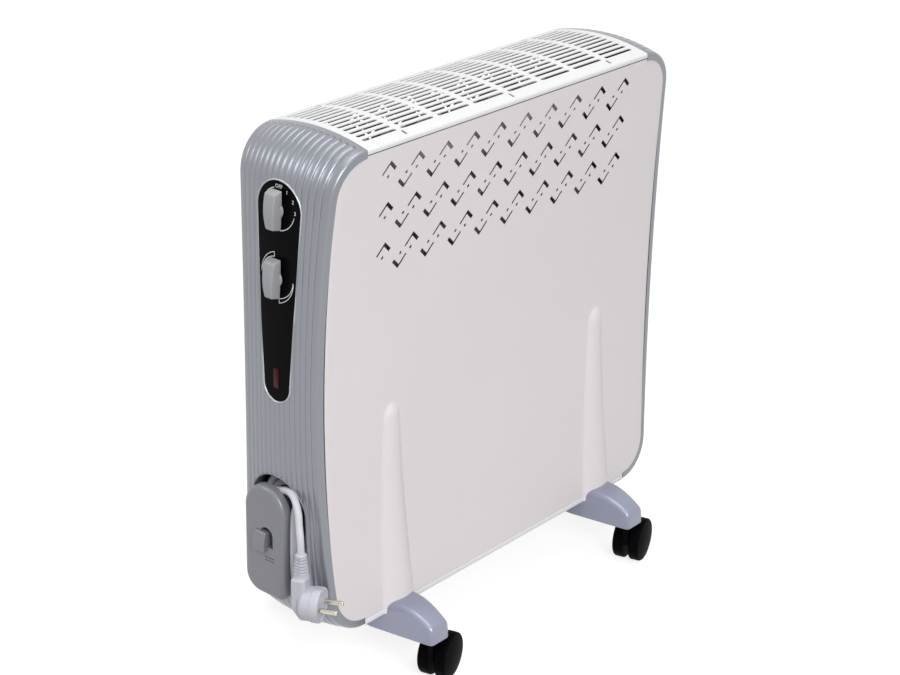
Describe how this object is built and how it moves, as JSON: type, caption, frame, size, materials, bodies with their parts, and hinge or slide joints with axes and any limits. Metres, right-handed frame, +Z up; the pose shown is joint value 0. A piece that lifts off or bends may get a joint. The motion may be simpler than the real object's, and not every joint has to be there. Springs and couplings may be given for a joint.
{
  "type": "oil filled radiator heater",
  "caption": "Panel cased oil filled radiator heater on casters, with a vented top grille, turning control knobs on one end and a wound mains cord below them.",
  "frame": {"origin": "on the floor under the middle of the whole heater, without its cord", "axes": "+Z up, -Y out of the patterned front panel, -X out of the control end"},
  "size_m": [0.588, 0.2592, 0.5945],
  "materials": {
    "panel_paint": "satin pale warm grey paint",
    "grille_paint": "satin white paint",
    "rail_paint": "satin pale grey paint",
    "cap_silver": "silver grey lacquer on moulded plastic",
    "fascia_black": "gloss black",
    "lens_red": "dark red, see-through",
    "lamp_glass": "small neon lamp",
    "cord_white": "white flexible plastic",
    "pin_metal": "nickel plated",
    "core_cream": "cream enamel",
    "element_steel": "bare steel",
    "plain_steel": "zinc plated",
    "brass_plug": "plain brass",
    "shield_aluminium": "bright sheet",
    "inner_plastic": "black moulding",
    "terminal_ivory": "ivory moulding",
    "wire_cover": "heat resisting sleeve",
    "knob_grey": "grey moulding",
    "foot_silver": "silver blue lacquer",
    "caster_black": "black nylon"
  },
  "bodies": {
    "casing": {"front_panel": "panel_paint", "rear_panel": "panel_paint", "top_grille": "grille_paint", "control_end_cap": "cap_silver", "far_end_cap": "cap_silver", "base_pan": "rail_paint", "control_fascia": "fascia_black", "indicator_lens": "lens_red", "indicator_lamp": "lamp_glass", "cord_winder": "cap_silver", "cord_gland": "cord_white", "mains_cord": "cord_white", "plug_strain_relief": "cord_white", "plug_body": "cord_white", "plug_pins": "pin_metal", "upper_collars": "core_cream", "lower_collars": "core_cream", "heating_element": "element_steel", "element_flange": "plain_steel", "filler_plug": "brass_plug", "core_brackets": "plain_steel", "heat_shield": "shield_aluminium", "control_bracket": "plain_steel", "selector_switch": "inner_plastic", "thermostat": "inner_plastic", "tip_over_switch": "inner_plastic", "thermal_cutout": "plain_steel", "terminal_block": "terminal_ivory", "internal_wiring": "wire_cover", "left_foot": "foot_silver", "right_foot": "foot_silver", "bracket_screws": "plain_steel", "foot_bolts": "plain_steel", "winder_screws": "plain_steel", "oil_fin_1": "core_cream", "oil_fin_2": "core_cream", "oil_fin_3": "core_cream", "oil_fin_4": "core_cream", "oil_fin_5": "core_cream", "oil_fin_6": "core_cream"},
    "selector": {"selector_knob": "knob_grey", "selector_shaft": "plain_steel"},
    "thermostat_dial": {"thermostat_knob": "knob_grey", "thermostat_shaft": "plain_steel"},
    "front_left_swivel": {"front_left_caster_frame": "caster_black", "front_left_caster_axle": "plain_steel"},
    "front_left_outer_roller": {"front_left_outer_wheel": "caster_black"},
    "front_left_inner_roller": {"front_left_inner_wheel": "caster_black"},
    "front_right_swivel": {"front_right_caster_frame": "caster_black", "front_right_caster_axle": "plain_steel"},
    "front_right_outer_roller": {"front_right_outer_wheel": "caster_black"},
    "front_right_inner_roller": {"front_right_inner_wheel": "caster_black"},
    "rear_left_swivel": {"rear_left_caster_frame": "caster_black", "rear_left_caster_axle": "plain_steel"},
    "rear_left_outer_roller": {"rear_left_outer_wheel": "caster_black"},
    "rear_left_inner_roller": {"rear_left_inner_wheel": "caster_black"},
    "rear_right_swivel": {"rear_right_caster_frame": "caster_black", "rear_right_caster_axle": "plain_steel"},
    "rear_right_outer_roller": {"rear_right_outer_wheel": "caster_black"},
    "rear_right_inner_roller": {"rear_right_inner_wheel": "caster_black"}
  },
  "joints": [
    {"name": "selector_turn", "type": "hinge", "parent": "casing", "child": "selector", "pos_m": [-0.272, 0, 0.525], "axis": [1, 0, 0], "range_deg": [0, 90]},
    {"name": "thermostat_turn", "type": "hinge", "parent": "casing", "child": "thermostat_dial", "pos_m": [-0.272, 0, 0.456], "axis": [1, 0, 0], "range_deg": [0, 270]},
    {"name": "front_left_swivel_turn", "type": "hinge", "parent": "casing", "child": "front_left_swivel", "pos_m": [-0.16, -0.113, 0.052], "axis": [0, 0, 1], "continuous": true},
    {"name": "front_left_outer_roll", "type": "hinge", "parent": "front_left_swivel", "child": "front_left_outer_roller", "pos_m": [-0.1427, -0.10804, 0.025], "axis": [-0.2756, 0.9613, 0], "continuous": true},
    {"name": "front_left_inner_roll", "type": "hinge", "parent": "front_left_swivel", "child": "front_left_inner_roller", "pos_m": [-0.1427, -0.10804, 0.025], "axis": [-0.2756, 0.9613, 0], "continuous": true},
    {"name": "front_right_swivel_turn", "type": "hinge", "parent": "casing", "child": "front_right_swivel", "pos_m": [0.176, -0.113, 0.052], "axis": [0, 0, 1], "continuous": true},
    {"name": "front_right_outer_roll", "type": "hinge", "parent": "front_right_swivel", "child": "front_right_outer_roller", "pos_m": [0.1933, -0.10804, 0.025], "axis": [-0.2756, 0.9613, 0], "continuous": true},
    {"name": "front_right_inner_roll", "type": "hinge", "parent": "front_right_swivel", "child": "front_right_inner_roller", "pos_m": [0.1933, -0.10804, 0.025], "axis": [-0.2756, 0.9613, 0], "continuous": true},
    {"name": "rear_left_swivel_turn", "type": "hinge", "parent": "casing", "child": "rear_left_swivel", "pos_m": [-0.16, 0.113, 0.052], "axis": [0, 0, 1], "continuous": true},
    {"name": "rear_left_outer_roll", "type": "hinge", "parent": "rear_left_swivel", "child": "rear_left_outer_roller", "pos_m": [-0.1427, 0.10804, 0.025], "axis": [0.2756, 0.9613, 0], "continuous": true},
    {"name": "rear_left_inner_roll", "type": "hinge", "parent": "rear_left_swivel", "child": "rear_left_inner_roller", "pos_m": [-0.1427, 0.10804, 0.025], "axis": [0.2756, 0.9613, 0], "continuous": true},
    {"name": "rear_right_swivel_turn", "type": "hinge", "parent": "casing", "child": "rear_right_swivel", "pos_m": [0.176, 0.113, 0.052], "axis": [0, 0, 1], "continuous": true},
    {"name": "rear_right_outer_roll", "type": "hinge", "parent": "rear_right_swivel", "child": "rear_right_outer_roller", "pos_m": [0.1933, 0.10804, 0.025], "axis": [0.2756, 0.9613, 0], "continuous": true},
    {"name": "rear_right_inner_roll", "type": "hinge", "parent": "rear_right_swivel", "child": "rear_right_inner_roller", "pos_m": [0.1933, 0.10804, 0.025], "axis": [0.2756, 0.9613, 0], "continuous": true}
  ]
}
